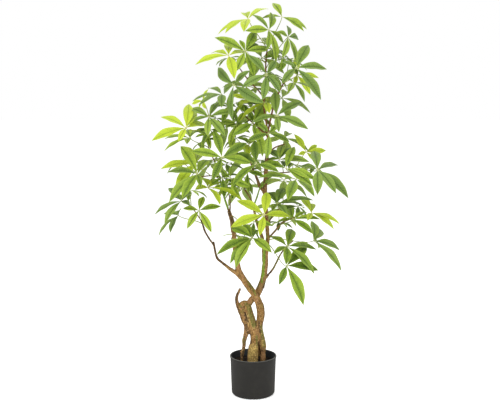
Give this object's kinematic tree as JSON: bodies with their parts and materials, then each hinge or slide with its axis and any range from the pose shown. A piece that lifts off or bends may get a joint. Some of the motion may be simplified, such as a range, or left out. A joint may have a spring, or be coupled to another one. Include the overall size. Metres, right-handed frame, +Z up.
{
  "type": "potted money tree",
  "caption": "Tall potted money tree: twisted woody stems in a round black pot, carrying a slim crown of palmate green and lime leaves.",
  "frame": {"origin": "centre of the pot's flat base, on the surface that the tree stands on", "axes": "+Z up along the pot's axis, -Y towards the viewer of the picture, +X to the viewer's right"},
  "size_m": [0.5779, 0.4435, 1.203],
  "materials": {
    "pot_plastic": "matte black plastic with a thin lighter lip",
    "soil": "dark granular filling, set hard",
    "wood": "ochre bark with olive patches, ridges and scars; thin stems redder and greener",
    "grown_leaf": "satin green leaf with pale ribs and side veins",
    "young_leaf": "satin lime leaf with yellow and brown ribs"
  },
  "bodies": {
    "root": {"pot": "pot_plastic", "soil": "soil", "trunk": "wood", "young_leaf_01": "young_leaf", "young_leaf_02": "young_leaf", "young_leaf_03": "young_leaf", "young_leaf_04": "young_leaf", "young_leaf_05": "young_leaf", "young_leaf_06": "young_leaf", "young_leaf_07": "young_leaf", "young_leaf_08": "young_leaf", "young_leaf_09": "young_leaf", "young_leaf_10": "young_leaf", "young_leaf_11": "young_leaf", "young_leaf_12": "young_leaf", "young_leaf_13": "young_leaf", "leaf_01": "grown_leaf", "leaf_02": "grown_leaf", "leaf_03": "grown_leaf", "leaf_04": "grown_leaf", "leaf_05": "grown_leaf", "leaf_06": "grown_leaf", "leaf_07": "grown_leaf", "leaf_08": "grown_leaf", "leaf_09": "grown_leaf", "leaf_10": "grown_leaf", "leaf_11": "grown_leaf", "leaf_12": "grown_leaf", "leaf_13": "grown_leaf", "leaf_14": "grown_leaf", "leaf_15": "grown_leaf", "leaf_16": "grown_leaf", "leaf_17": "grown_leaf", "leaf_18": "grown_leaf", "leaf_19": "grown_leaf", "leaf_20": "grown_leaf", "leaf_21": "grown_leaf", "leaf_22": "grown_leaf", "leaf_23": "grown_leaf", "leaf_24": "grown_leaf", "leaf_25": "grown_leaf", "leaf_26": "grown_leaf", "leaf_27": "grown_leaf", "leaf_28": "grown_leaf", "leaf_29": "grown_leaf", "leaf_30": "grown_leaf", "leaf_31": "grown_leaf", "leaf_32": "grown_leaf", "leaf_33": "grown_leaf", "leaf_34": "grown_leaf", "leaf_35": "grown_leaf", "leaf_36": "grown_leaf", "leaf_37": "grown_leaf", "leaf_38": "grown_leaf", "leaf_39": "grown_leaf", "leaf_40": "grown_leaf", "leaf_41": "grown_leaf", "leaf_42": "grown_leaf", "leaf_43": "grown_leaf", "leaf_44": "grown_leaf"}
  },
  "joints": []
}
